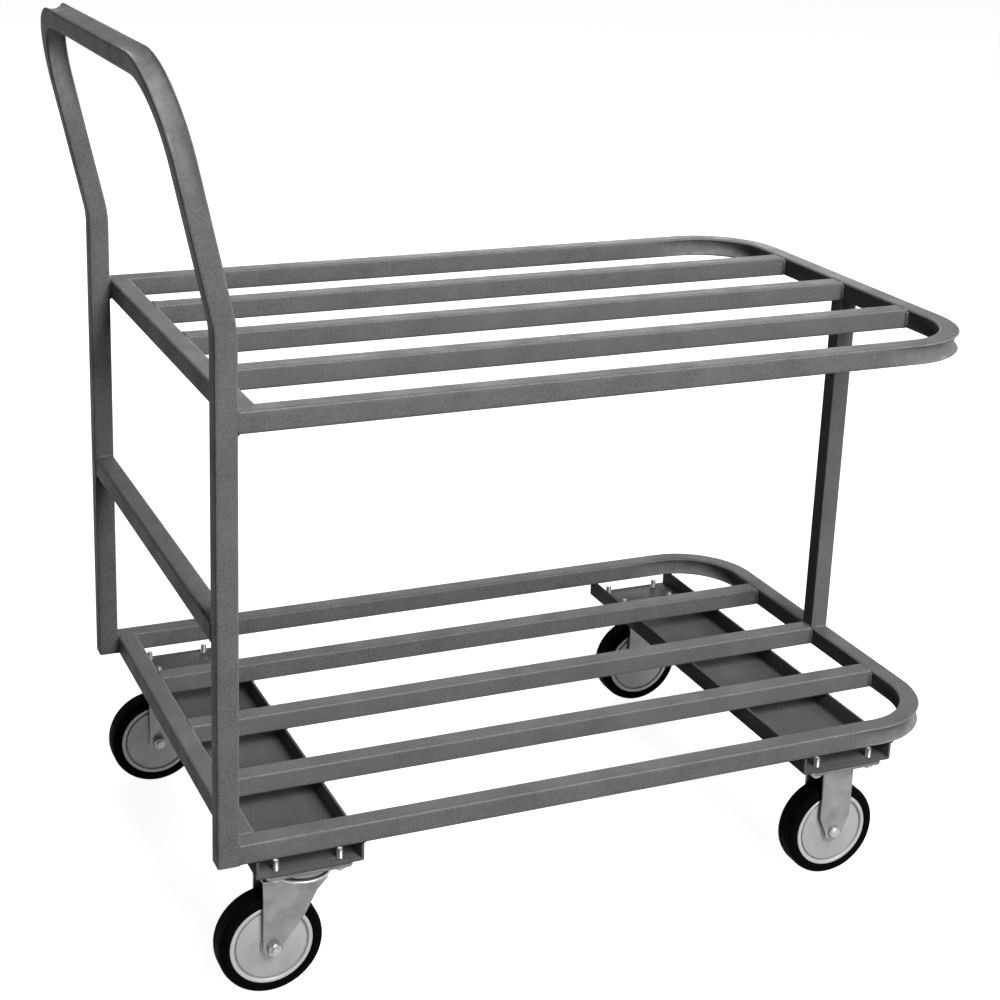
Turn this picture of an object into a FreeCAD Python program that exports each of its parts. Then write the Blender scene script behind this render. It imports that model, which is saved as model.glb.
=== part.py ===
import FreeCAD, Part
import math
import os
import types

import Sketcher
from FreeCAD import Placement, Rotation, Vector

# Two-deck stock cart: a welded frame of one-inch square tube, with a bent tube
# that forms both uprights and the push handle, two fixed casters under the nose
# and two swivel casters under the handle end.
# Row frame: +X towards the nose, +Y to the left side, +Z up, origin on the floor
# under the middle of the bounding box.

os.makedirs("parts", exist_ok=True)
doc = FreeCAD.newDocument("Cart")
sheet = doc.addObject("Spreadsheet::Sheet", "Sizes")

DRIVING = {
    # decks
    "deck_length": 965.2,
    "deck_width": 609.6,
    "deck_spacing": 510.5,
    "nose_bend_radius": 95.25,
    "slat_count": 3,
    # square tube
    "tube": 25.4,
    "tube_wall": 1.6,
    "tube_corner": 3.0,
    # bent uprights, handle and brace
    "brace_rise": 252.8,
    "lean_start": 73.0,
    "lean_angle": 13.0,
    "lean_bend_radius": 127.0,
    "handle_rise": 271.0,
    "handle_bend_radius": 95.25,
    "plug_depth": 14.0,
    # caster channels
    "channel_width": 130.2,
    "channel_depth": 25.4,
    "channel_gauge": 3.2,
    "channel_end_inset": 4.8,
    "channel_bend": 2.4,
    "rear_channel_setback": 85.6,
    "nose_channel_setback": 154.7,
    # casters
    "caster_height": 165.1,
    "caster_inset": 40.8,
    "swivel_lead": 40.0,
    "plate_length": 104.8,
    "plate_width": 76.2,
    "plate_gauge": 4.0,
    "plate_corner": 7.0,
    "stud_spacing_x": 77.8,
    "stud_spacing_y": 50.8,
    "stud_diameter": 7.9,
    "stud_rise": 12.0,
    "stud_drop": 3.0,
    "nut_width": 12.7,
    "nut_height": 6.4,
    "hole_clearance": 0.4,
    # forks
    "fork_gap": 36.0,
    "fork_gauge": 3.2,
    "crown_drop": 10.5,
    "crown_radius": 35.0,
    "leg_rear": 12.0,
    "leg_front": 66.0,
    "leg_lip": 8.5,
    "leg_shoulder_reach": 53.0,
    "leg_shoulder_drop": 22.5,
    "leg_waist_reach": 39.0,
    "leg_waist_drop": 50.5,
    "leg_end_radius": 12.5,
    "fixed_leg_width": 44.0,
    "fixed_leg_taper": 22.0,
    # swivel bearing
    "kingpin_diameter": 15.8,
    "kingpin_head": 25.0,
    "kingpin_head_height": 4.0,
    "running_gap": 0.3,
    "shaft_fit": 0.08,
    "race_radius": 33.0,
    "race_gauge": 2.5,
    "ball_diameter": 6.0,
    "ball_circle_radius": 25.0,
    "ball_count": 16,
    # wheels
    "wheel_diameter": 127.0,
    "tyre_depth": 12.9,
    "tyre_width": 32.0,
    "tyre_shoulder": 4.0,
    "rim_ring": 5.2,
    "rim_width": 30.4,
    "groove_width": 1.6,
    "groove_depth": 1.8,
    "disc_width": 28.4,
    "hub_diameter": 28.0,
    "hub_length": 34.8,
    # axles
    "axle_diameter": 9.5,
    "bush_diameter": 12.7,
    "axle_head_width": 15.8,
    "axle_head_height": 5.6,
    "axle_dome": 4.76,
    "axle_nut_width": 14.3,
    "axle_nut_height": 8.3,
    "thread_stub": 3.0,
}
size = types.SimpleNamespace(**DRIVING)

# Places that follow from the driving sizes.
half_tube = size.tube / 2
lean = math.radians(size.lean_angle)
grip_setback = (half_tube + size.lean_bend_radius * (1 - math.cos(lean))
                + (size.handle_rise - half_tube) * math.sin(lean))
grip_support = ((half_tube - size.tube_corner) * (math.cos(lean) + math.sin(lean))
                + size.tube_corner)
handle_reach = grip_setback + grip_support
lower_deck_top = size.caster_height + size.channel_depth + size.tube
PLACES = {
    "shelf_x": -(size.deck_length - handle_reach) / 2,
    "lower_deck_top": lower_deck_top,
    "upper_deck_top": lower_deck_top + size.deck_spacing,
    "slat_pitch": (size.deck_width - size.tube) / (size.slat_count + 1),
    "axle_height": size.wheel_diameter / 2,
    "caster_y": size.deck_width / 2 - size.caster_inset,
    "channel_length": size.deck_width - 2 * size.channel_end_inset,
}
place = types.SimpleNamespace(**PLACES)

for row, (name, value) in enumerate({**DRIVING, **PLACES}.items(), start=1):
    sheet.set(f"A{row}", name)
    sheet.set(f"B{row}", str(value))
    sheet.setAlias(f"B{row}", name)
doc.recompute()

nodes = []


def keep(shape_object, label):
    """Mark an object as one sub-part of the cart."""
    shape_object.Label = label
    nodes.append(shape_object)
    return shape_object


def bind(target, **expressions):
    """Bind properties to the sheet; a double underscore stands for a dot."""
    for prop, text in expressions.items():
        target.setExpression(prop.replace("__", "."), text)


def at(target, x="0", y="0", z="0"):
    """Bind the place of an object to expressions."""
    bind(target, Placement__Base__x=x, Placement__Base__y=y, Placement__Base__z=z)


def new_body(label):
    body = doc.addObject("PartDesign::Body", label)
    return keep(body, label)


def origin_part(body, role):
    return next(part for part in body.Origin.OriginFeatures if part.Role == role)


def new_sketch(body, role):
    sketch = body.newObject("Sketcher::SketchObject", "Sketch")
    sketch.AttachmentSupport = (origin_part(body, role), [""])
    sketch.MapMode = "FlatFace"
    return sketch


def outline(sketch, points):
    """Closed outline whose corners are pairs of expressions from the sketch origin."""
    spots = [Vector(float(sheet.evalExpression(x)), float(sheet.evalExpression(y)), 0)
             for x, y in points]
    first = sketch.GeometryCount
    for i, spot in enumerate(spots):
        sketch.addGeometry(Part.LineSegment(spot, spots[(i + 1) % len(spots)]), False)
    for i, (x, y) in enumerate(points):
        line = first + i
        after = first + (i + 1) % len(points)
        sketch.addConstraint(Sketcher.Constraint("Coincident", line, 2, after, 1))
        for axis, text, start in (("DistanceX", x, spots[i].x), ("DistanceY", y, spots[i].y)):
            index = sketch.addConstraint(Sketcher.Constraint(axis, -1, 1, line, 1, start))
            sketch.setExpression(f"Constraints[{index}]", text)


def circle(sketch, x, y, radius):
    """Circle whose centre and radius are expressions."""
    spot = Vector(float(sheet.evalExpression(x)), float(sheet.evalExpression(y)), 0)
    start = float(sheet.evalExpression(radius))
    curve = sketch.addGeometry(Part.Circle(spot, Vector(0, 0, 1), start), False)
    for kind, text, value in (("DistanceX", x, spot.x), ("DistanceY", y, spot.y)):
        index = sketch.addConstraint(Sketcher.Constraint(kind, -1, 1, curve, 3, value))
        sketch.setExpression(f"Constraints[{index}]", text)
    index = sketch.addConstraint(Sketcher.Constraint("Radius", curve, start))
    sketch.setExpression(f"Constraints[{index}]", radius)


def rounded_square(sketch, half_width, radius):
    """Square with rounded corners about the sketch origin."""
    half = float(sheet.evalExpression(half_width))
    bend = float(sheet.evalExpression(radius))
    flat = half - bend
    first = sketch.GeometryCount
    for quarter in range(4):
        turn = Rotation(Vector(0, 0, 1), 90 * quarter)
        side = [turn.multVec(Vector(half, end, 0)) for end in (-flat, flat)]
        sketch.addGeometry(Part.LineSegment(*side), False)
        round_edge = Part.Circle(turn.multVec(Vector(flat, flat, 0)), Vector(0, 0, 1), bend)
        start = math.radians(90 * quarter)
        sketch.addGeometry(Part.ArcOfCircle(round_edge, start, start + math.pi / 2), False)
    for quarter in range(4):
        side = first + 2 * quarter
        arc = side + 1
        after = first + 2 * ((quarter + 1) % 4)
        sketch.addConstraint(Sketcher.Constraint("Tangent", side, 2, arc, 1))
        sketch.addConstraint(Sketcher.Constraint("Tangent", arc, 2, after, 1))
        direction = ("Vertical", "Horizontal")[quarter % 2]
        sketch.addConstraint(Sketcher.Constraint(direction, side))
    for quarter in range(1, 4):
        sketch.addConstraint(Sketcher.Constraint("Equal", first + 1, first + 1 + 2 * quarter))
    right, top, left, bottom = range(first, first + 8, 2)
    for constraint, text in (
        (Sketcher.Constraint("Radius", first + 1, bend), radius),
        (Sketcher.Constraint("DistanceX", -1, 1, right, 1, half), half_width),
        (Sketcher.Constraint("DistanceY", -1, 1, top, 1, half), half_width),
        (Sketcher.Constraint("DistanceX", left, 1, -1, 1, half), half_width),
        (Sketcher.Constraint("DistanceY", bottom, 1, -1, 1, half), half_width),
    ):
        index = sketch.addConstraint(constraint)
        sketch.setExpression(f"Constraints[{index}]", text)


def tube_section(sketch):
    """Hollow square tube: outer and inner walls."""
    rounded_square(sketch, "Sizes.tube / 2", "Sizes.tube_corner")
    rounded_square(sketch, "Sizes.tube / 2 - Sizes.tube_wall", "Sizes.tube_corner - Sizes.tube_wall")


def pad(body, sketch, length, middle=False):
    feature = body.newObject("PartDesign::Pad", "Pad")
    feature.Profile = sketch
    if middle:
        feature.SideType = "Symmetric"
    bind(feature, Length=length)
    doc.recompute()
    return feature


def pocket(body, sketch, length, middle=False, reverse=False):
    before = body.Shape.Volume
    feature = body.newObject("PartDesign::Pocket", "Pocket")
    feature.Profile = sketch
    if middle:
        feature.SideType = "Symmetric"
    feature.Reversed = reverse
    bind(feature, Length=length)
    doc.recompute()
    if body.Shape.Volume >= before:
        raise RuntimeError(f"{body.Label}: the cut removed nothing")
    return feature


DIRECTIONS = {
    "x": Rotation(),
    "y": Rotation(Vector(0, 0, 1), 90),
    "z": Rotation(Vector(0, 1, 0), -90),
}


def straight_tube(label, length, direction, x, y, z):
    """Tube that starts at a point and runs along +X, +Y or +Z."""
    body = new_body(label)
    sketch = new_sketch(body, "YZ_Plane")
    tube_section(sketch)
    pad(body, sketch, length)
    body.Placement = Placement(Vector(), DIRECTIONS[direction])
    at(body, x, y, z)
    return body


# Bent uprights and handle: one tube that rises from the lower deck, leans back
# just above the upper deck and crosses over as the grip.
def handle_tube():
    def section(inset):
        half = half_tube - inset
        corner = size.tube_corner - inset
        square = Part.makePlane(2 * half, 2 * half, Vector(-half, -half, 0))
        rim = square.OuterWire
        prism = Part.Face(rim).extrude(Vector(0, 0, 1))
        upright_edges = [edge for edge in prism.Edges if abs(edge.BoundBox.ZLength - 1) < 1e-6]
        rounded = prism.makeFillet(corner, upright_edges)
        base = min(rounded.Faces, key=lambda face: face.CenterOfMass.z)
        return base.OuterWire

    def half_handle(wire):
        """Right-hand half, from the foot to the middle of the grip."""
        side = -(size.deck_width / 2 - half_tube)
        foot = Vector(place.shelf_x - half_tube, side, lower_deck_top - size.tube)
        face = Part.Face(wire)
        face.translate(foot)
        bend_height = place.upper_deck_top + size.lean_start
        pieces = []
        rise = Vector(0, 0, bend_height - foot.z)
        pieces.append(face.extrude(rise))
        face.translate(rise)
        pivot = Vector(foot.x - size.lean_bend_radius, side, bend_height)
        pieces.append(face.revolve(pivot, Vector(0, -1, 0), size.lean_angle))
        face.rotate(pivot, Vector(0, -1, 0), size.lean_angle)
        up = Vector(-math.sin(lean), 0, math.cos(lean))
        run = up * (size.handle_rise - half_tube - size.handle_bend_radius)
        pieces.append(face.extrude(run))
        face.translate(run)
        centre = face.CenterOfMass + Vector(0, size.handle_bend_radius, 0)
        normal = Vector(math.cos(lean), 0, math.sin(lean))
        pieces.append(face.revolve(centre, -normal, 90))
        face.rotate(centre, -normal, 90)
        pieces.append(face.extrude(Vector(0, -face.CenterOfMass.y, 0)))
        return pieces

    walls = []
    for inset in (0, size.tube_wall):
        right = half_handle(section(inset))
        left = [piece.mirror(Vector(), Vector(0, 1, 0)) for piece in right]
        walls.append(right[0].fuse(right[1:] + left).removeSplitter())
    return walls[0].cut(walls[1])


handle = keep(doc.addObject("Part::Feature", "handle_frame"), "handle_frame")
handle.Shape = handle_tube()

# Plugs that close the lower ends of the uprights.
for label, sign in (("left", ""), ("right", "-")):
    plug = new_body(f"upright_plug_{label}")
    plug_sketch = new_sketch(plug, "XY_Plane")
    rounded_square(plug_sketch, "Sizes.tube / 2 - Sizes.tube_wall",
                   "Sizes.tube_corner - Sizes.tube_wall")
    pad(plug, plug_sketch, "Sizes.plug_depth")
    at(plug, "Sizes.shelf_x - Sizes.tube / 2",
       f"{sign}(Sizes.deck_width / 2 - Sizes.tube / 2)",
       "Sizes.lower_deck_top - Sizes.tube")

straight_tube("cross_brace", "Sizes.deck_width - 2 * Sizes.tube", "y",
              "Sizes.shelf_x - Sizes.tube / 2",
              "-(Sizes.deck_width / 2 - Sizes.tube)",
              "Sizes.lower_deck_top + Sizes.brace_rise")


# Decks: a U-bent rim, an end rail between its open ends and lengthwise slats.
def rim_path(sketch):
    """Middle line of the rim, from the right rail round the nose to the left rail."""
    reach = size.deck_length - half_tube
    side = size.deck_width / 2 - half_tube
    bend = size.nose_bend_radius
    start = reach - bend
    across = side - bend
    turns = [(Vector(start, -across, 0), -math.pi / 2), (Vector(start, across, 0), 0.0)]
    sketch.addGeometry(Part.LineSegment(Vector(0, -side, 0), Vector(start, -side, 0)), False)
    for centre, angle in turns:
        ring = Part.Circle(centre, Vector(0, 0, 1), bend)
        sketch.addGeometry(Part.ArcOfCircle(ring, angle, angle + math.pi / 2), False)
    sketch.addGeometry(Part.LineSegment(Vector(reach, -across, 0), Vector(reach, across, 0)), False)
    sketch.addGeometry(Part.LineSegment(Vector(start, side, 0), Vector(0, side, 0)), False)
    right, first_bend, second_bend, nose, left = range(5)
    for before, after in ((right, first_bend), (first_bend, nose),
                          (nose, second_bend), (second_bend, left)):
        sketch.addConstraint(Sketcher.Constraint("Tangent", before, 2, after, 1))
    sketch.addConstraint(Sketcher.Constraint("Horizontal", right))
    sketch.addConstraint(Sketcher.Constraint("Vertical", nose))
    sketch.addConstraint(Sketcher.Constraint("Horizontal", left))
    sketch.addConstraint(Sketcher.Constraint("Equal", first_bend, second_bend))
    sketch.addConstraint(Sketcher.Constraint("PointOnObject", right, 1, -2))
    sketch.addConstraint(Sketcher.Constraint("PointOnObject", left, 2, -2))
    half_width = "Sizes.deck_width / 2 - Sizes.tube / 2"
    for constraint, text in (
        (Sketcher.Constraint("Radius", first_bend, bend), "Sizes.nose_bend_radius"),
        (Sketcher.Constraint("DistanceX", -1, 1, nose, 1, reach), "Sizes.deck_length - Sizes.tube / 2"),
        (Sketcher.Constraint("DistanceY", right, 1, -1, 1, side), half_width),
        (Sketcher.Constraint("DistanceY", -1, 1, left, 2, side), half_width),
    ):
        index = sketch.addConstraint(constraint)
        sketch.setExpression(f"Constraints[{index}]", text)


def deck(level, top):
    middle = f"{top} - Sizes.tube / 2"
    rim = new_body(f"{level}_rim")
    path = new_sketch(rim, "XY_Plane")
    rim_path(path)
    section = new_sketch(rim, "YZ_Plane")
    tube_section(section)
    bind(section, AttachmentOffset__Base__x="-(Sizes.deck_width - Sizes.tube) / 2")
    doc.recompute()
    sweep = rim.newObject("PartDesign::AdditivePipe", "Sweep")
    sweep.Profile = section
    sweep.Spine = (path, [f"Edge{i + 1}" for i in range(path.GeometryCount)])
    doc.recompute()
    at(rim, "Sizes.shelf_x", "0", middle)

    straight_tube(f"{level}_end_rail", "Sizes.deck_width - 2 * Sizes.tube", "y",
                  "Sizes.shelf_x + Sizes.tube / 2", "-(Sizes.deck_width / 2 - Sizes.tube)", middle)
    middle_slat = (size.slat_count - 1) / 2
    for i in range(int(size.slat_count)):
        straight_tube(f"{level}_slat_{i + 1}", "Sizes.deck_length - 2 * Sizes.tube", "x",
                      "Sizes.shelf_x + Sizes.tube", f"Sizes.slat_pitch * {i - middle_slat}", middle)


deck("upper", "Sizes.upper_deck_top")
deck("lower", "Sizes.lower_deck_top")

# Post between the two nose rails.
straight_tube("nose_post", "Sizes.deck_spacing - Sizes.tube", "z",
              "Sizes.shelf_x + Sizes.deck_length - Sizes.tube / 2", "0", "Sizes.lower_deck_top")


# Channels, flanges up, that carry the casters across the underside of the frame.
def stud_places():
    return [(sx, sy) for sx in ("", "-") for sy in ("", "-")]


def channel(label, x):
    body = new_body(label)
    section = new_sketch(body, "XZ_Plane")
    outline(section, [
        ("-Sizes.channel_width / 2", "0"),
        ("Sizes.channel_width / 2", "0"),
        ("Sizes.channel_width / 2", "Sizes.channel_depth"),
        ("Sizes.channel_width / 2 - Sizes.channel_gauge", "Sizes.channel_depth"),
        ("Sizes.channel_width / 2 - Sizes.channel_gauge", "Sizes.channel_gauge"),
        ("-Sizes.channel_width / 2 + Sizes.channel_gauge", "Sizes.channel_gauge"),
        ("-Sizes.channel_width / 2 + Sizes.channel_gauge", "Sizes.channel_depth"),
        ("-Sizes.channel_width / 2", "Sizes.channel_depth"),
    ])
    trough = pad(body, section, "Sizes.channel_length", middle=True)

    def is_heel(edge):
        box = edge.BoundBox
        along = abs(box.YLength - place.channel_length) < 1
        return along and box.ZMax < 1e-6

    heels = [f"Edge{i + 1}" for i, edge in enumerate(trough.Shape.Edges) if is_heel(edge)]
    bend = body.newObject("PartDesign::Fillet", "Bend")
    bend.Base = (trough, heels)
    bind(bend, Radius="Sizes.channel_bend")
    doc.recompute()
    holes = new_sketch(body, "XY_Plane")
    for side in ("", "-"):
        for sx, sy in stud_places():
            circle(holes, f"{sx}Sizes.stud_spacing_x / 2",
                   f"{side}(Sizes.caster_y + {sy}Sizes.stud_spacing_y / 2)",
                   "Sizes.stud_diameter / 2")
    doc.recompute()
    pocket(body, holes, "Sizes.channel_gauge * 2", middle=True)
    at(body, x, "0", "Sizes.caster_height")


REAR_X = "Sizes.shelf_x + Sizes.rear_channel_setback"
NOSE_X = "Sizes.shelf_x + Sizes.deck_length - Sizes.nose_channel_setback"
channel("rear_channel", REAR_X)
channel("nose_channel", NOSE_X)


# Top plates, with their studs and nuts.
def top_plate(corner, x, y):
    body = new_body(f"{corner}_top_plate")
    sketch = new_sketch(body, "XY_Plane")
    reach = "Sizes.plate_length / 2"
    breadth = "Sizes.plate_width / 2"
    outline(sketch, [(f"-{reach}", f"-{breadth}"), (reach, f"-{breadth}"),
                     (reach, breadth), (f"-{reach}", breadth)])
    sheet_metal = pad(body, sketch, "Sizes.plate_gauge")
    corners = [f"Edge{i + 1}" for i, edge in enumerate(sheet_metal.Shape.Edges)
               if abs(edge.BoundBox.ZLength - size.plate_gauge) < 1e-3]
    rounding = body.newObject("PartDesign::Fillet", "Corners")
    rounding.Base = (sheet_metal, corners)
    bind(rounding, Radius="Sizes.plate_corner")
    doc.recompute()
    holes = new_sketch(body, "XY_Plane")
    for sx, sy in stud_places():
        circle(holes, f"{sx}Sizes.stud_spacing_x / 2", f"{sy}Sizes.stud_spacing_y / 2",
               "Sizes.stud_diameter / 2 + Sizes.hole_clearance")
    doc.recompute()
    pocket(body, holes, "Sizes.plate_gauge * 3", middle=True)
    at(body, x, y, "Sizes.caster_height - Sizes.plate_gauge")
    return body


def cylinder(name, radius, height):
    solid = doc.addObject("Part::Cylinder", name)
    bind(solid, Radius=radius, Height=height)
    return solid


def hexagon(name, width, height):
    """Hexagonal prism, sized across its flats."""
    solid = doc.addObject("Part::Prism", name)
    solid.Polygon = 6
    bind(solid, Circumradius=f"{width} / 2 / cos(30 deg)", Height=height)
    return solid


def plate_fasteners(corner, x, y):
    studs = []
    nuts = []
    nut_base = "Sizes.caster_height - Sizes.plate_gauge - Sizes.nut_height"
    for sx, sy in stud_places():
        stud_x = f"{x} + {sx}Sizes.stud_spacing_x / 2"
        stud_y = f"{y} + {sy}Sizes.stud_spacing_y / 2"
        stud = cylinder("Stud", "Sizes.stud_diameter / 2",
                        "Sizes.stud_rise + Sizes.channel_gauge + Sizes.plate_gauge"
                        " + Sizes.nut_height + Sizes.stud_drop")
        at(stud, stud_x, stud_y, f"{nut_base} - Sizes.stud_drop")
        studs.append(stud)
        blank = hexagon("NutBlank", "Sizes.nut_width", "Sizes.nut_height")
        at(blank, stud_x, stud_y, nut_base)
        thread = cylinder("NutThread", "Sizes.stud_diameter / 2", "Sizes.nut_height * 3")
        at(thread, stud_x, stud_y, f"{nut_base} - Sizes.nut_height")
        nut = doc.addObject("Part::Cut", "Nut")
        nut.Base = blank
        nut.Tool = thread
        nuts.append(nut)
    for label, links in ((f"{corner}_plate_studs", studs), (f"{corner}_plate_nuts", nuts)):
        group = doc.addObject("Part::Compound", label)
        group.Links = links
        keep(group, label)


# Forks: a pressed crown with two legs, made as one side outline that is
# hollowed for the wheel.
def fork(label, side_outline, crown_top, axle_x):
    body = new_body(label)
    width = "Sizes.fork_gap + 2 * Sizes.fork_gauge"
    legs = new_sketch(body, "XZ_Plane")
    outline(legs, side_outline)
    pad(body, legs, width, middle=True)
    ends = new_sketch(body, "XZ_Plane")
    circle(ends, axle_x, "Sizes.axle_height", "Sizes.leg_end_radius")
    pad(body, ends, width, middle=True)
    inside = new_sketch(body, "XZ_Plane")
    reach = "2 * Sizes.wheel_diameter"
    under = f"{crown_top} - Sizes.fork_gauge"
    outline(inside, [(f"-{reach}", "0"), (reach, "0"), (reach, under), (f"-{reach}", under)])
    pocket(body, inside, "Sizes.fork_gap", middle=True)
    return body


def drill_axle(body, axle_x):
    hole = new_sketch(body, "XZ_Plane")
    circle(hole, axle_x, "Sizes.axle_height", "Sizes.axle_diameter / 2")
    pocket(body, hole, "2 * Sizes.wheel_diameter", middle=True)


def swivel_fork(corner, x, y):
    axle = "-Sizes.swivel_lead"
    crown_top = "Sizes.caster_height - Sizes.plate_gauge - Sizes.crown_drop"
    rear = f"{axle} - Sizes.leg_rear"
    body = fork(f"{corner}_fork", [
        (rear, "Sizes.axle_height"),
        (f"{axle} + Sizes.leg_rear", "Sizes.axle_height"),
        (f"{axle} + Sizes.leg_waist_reach", f"{crown_top} - Sizes.leg_waist_drop"),
        (f"{axle} + Sizes.leg_shoulder_reach", f"{crown_top} - Sizes.leg_shoulder_drop"),
        (f"{axle} + Sizes.leg_front", f"{crown_top} - Sizes.leg_lip"),
        (f"{axle} + Sizes.leg_front", crown_top),
        (rear, crown_top),
    ], crown_top, axle)
    crown = new_sketch(body, "XY_Plane")
    circle(crown, "0", "0", "Sizes.crown_radius")
    bind(crown, AttachmentOffset__Base__z=f"{crown_top} - Sizes.fork_gauge")
    pad(body, crown, "Sizes.fork_gauge")
    kingpin_hole = new_sketch(body, "XY_Plane")
    circle(kingpin_hole, "0", "0", "Sizes.kingpin_diameter / 2 + Sizes.shaft_fit")
    bind(kingpin_hole, AttachmentOffset__Base__z=crown_top)
    pocket(body, kingpin_hole, "4 * Sizes.fork_gauge", middle=True)
    drill_axle(body, axle)
    at(body, x, y, "0")


def fixed_fork(corner, x, y):
    crown_top = "Sizes.caster_height - Sizes.plate_gauge"
    half = "Sizes.fixed_leg_width / 2"
    body = fork(f"{corner}_fork", [
        ("-Sizes.leg_end_radius", "Sizes.axle_height"),
        ("Sizes.leg_end_radius", "Sizes.axle_height"),
        (half, "Sizes.axle_height + Sizes.fixed_leg_taper"),
        (half, crown_top),
        (f"-{half}", crown_top),
        (f"-{half}", "Sizes.axle_height + Sizes.fixed_leg_taper"),
    ], crown_top, "0")
    drill_axle(body, "0")
    at(body, x, y, "0")


def ring(body, points):
    """Solid of revolution about the body's own Y axis: points are (radius, along)."""
    profile = new_sketch(body, "XY_Plane")
    outline(profile, points)
    turned = body.newObject("PartDesign::Revolution", "Turned")
    turned.Profile = profile
    turned.ReferenceAxis = (origin_part(body, "Y_Axis"), [""])
    turned.Angle = 360
    doc.recompute()
    return turned


# Swivel bearing: a race under the plate, a ring of balls and a riveted kingpin.
def swivel_bearing(corner, x, y):
    plate_bottom = "Sizes.caster_height - Sizes.plate_gauge"
    crown_top = f"{plate_bottom} - Sizes.crown_drop"
    race = doc.addObject("Part::Cut", f"{corner}_race")
    drum = cylinder("RaceDrum", "Sizes.race_radius",
                    "Sizes.crown_drop - Sizes.race_gauge")
    well = cylinder("RaceWell", "Sizes.race_radius - Sizes.race_gauge",
                    "Sizes.crown_drop - 2 * Sizes.race_gauge")
    eye = cylinder("RaceEye", "Sizes.kingpin_diameter / 2", "Sizes.caster_height")
    at(drum, x, y, f"{crown_top} + Sizes.race_gauge")
    at(well, x, y, f"{crown_top} + Sizes.race_gauge")
    at(eye, x, y, "0")
    cup = doc.addObject("Part::Cut", "RaceCup")
    cup.Base = drum
    cup.Tool = well
    race.Base = cup
    race.Tool = eye
    keep(race, f"{corner}_race")

    balls = []
    for i in range(int(size.ball_count)):
        ball = doc.addObject("Part::Sphere", "Ball")
        bind(ball, Radius="Sizes.ball_diameter / 2")
        angle = 2 * math.pi * i / size.ball_count
        at(ball, f"{x} + Sizes.ball_circle_radius * {math.cos(angle):.6f}",
           f"{y} + Sizes.ball_circle_radius * {math.sin(angle):.6f}",
           f"{crown_top} + Sizes.running_gap + Sizes.ball_diameter / 2")
        balls.append(ball)
    group = doc.addObject("Part::Compound", f"{corner}_balls")
    group.Links = balls
    keep(group, f"{corner}_balls")

    shank = cylinder("KingpinShank", "Sizes.kingpin_diameter / 2",
                     "Sizes.crown_drop + Sizes.fork_gauge + Sizes.running_gap")
    at(shank, x, y, f"{crown_top} - Sizes.fork_gauge - Sizes.running_gap")
    head = cylinder("KingpinHead", "Sizes.kingpin_head / 2", "Sizes.kingpin_head_height")
    at(head, x, y, f"{crown_top} - Sizes.fork_gauge - Sizes.running_gap"
                   " - Sizes.kingpin_head_height")
    kingpin = doc.addObject("Part::Fuse", f"{corner}_kingpin")
    kingpin.Base = shank
    kingpin.Tool = head
    keep(kingpin, f"{corner}_kingpin")


# Wheels: a turned disc centre inside a solid rubber tyre.
def wheel(corner, x, y):
    disc = new_body(f"{corner}_wheel_disc")
    bore = "Sizes.bush_diameter / 2 + Sizes.shaft_fit"
    outer = "Sizes.wheel_diameter / 2 - Sizes.tyre_depth"
    ring_inner = f"{outer} - Sizes.rim_ring"
    groove_inner = f"{ring_inner} - Sizes.groove_width"
    levels = [
        (bore, "Sizes.hub_length / 2"),
        ("Sizes.hub_diameter / 2", "Sizes.hub_length / 2"),
        ("Sizes.hub_diameter / 2", "Sizes.disc_width / 2"),
        (groove_inner, "Sizes.disc_width / 2"),
        (groove_inner, "Sizes.disc_width / 2 - Sizes.groove_depth"),
        (ring_inner, "Sizes.disc_width / 2 - Sizes.groove_depth"),
        (ring_inner, "Sizes.rim_width / 2"),
        (outer, "Sizes.rim_width / 2"),
    ]
    ring(disc, levels + [(radius, f"-({along})") for radius, along in reversed(levels)])
    at(disc, x, y, "Sizes.axle_height")

    tyre = new_body(f"{corner}_tyre")
    tread = "Sizes.wheel_diameter / 2"
    solid = ring(tyre, [(outer, "-Sizes.tyre_width / 2"), (tread, "-Sizes.tyre_width / 2"),
                        (tread, "Sizes.tyre_width / 2"), (outer, "Sizes.tyre_width / 2")])
    shoulders = [f"Edge{i + 1}" for i, edge in enumerate(solid.Shape.Edges)
                 if hasattr(edge.Curve, "Radius")
                 and abs(edge.Curve.Radius - size.wheel_diameter / 2) < 1e-3]
    rounding = tyre.newObject("PartDesign::Fillet", "Shoulders")
    rounding.Base = (solid, shoulders)
    bind(rounding, Radius="Sizes.tyre_shoulder")
    doc.recompute()
    at(tyre, x, y, "Sizes.axle_height")


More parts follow.
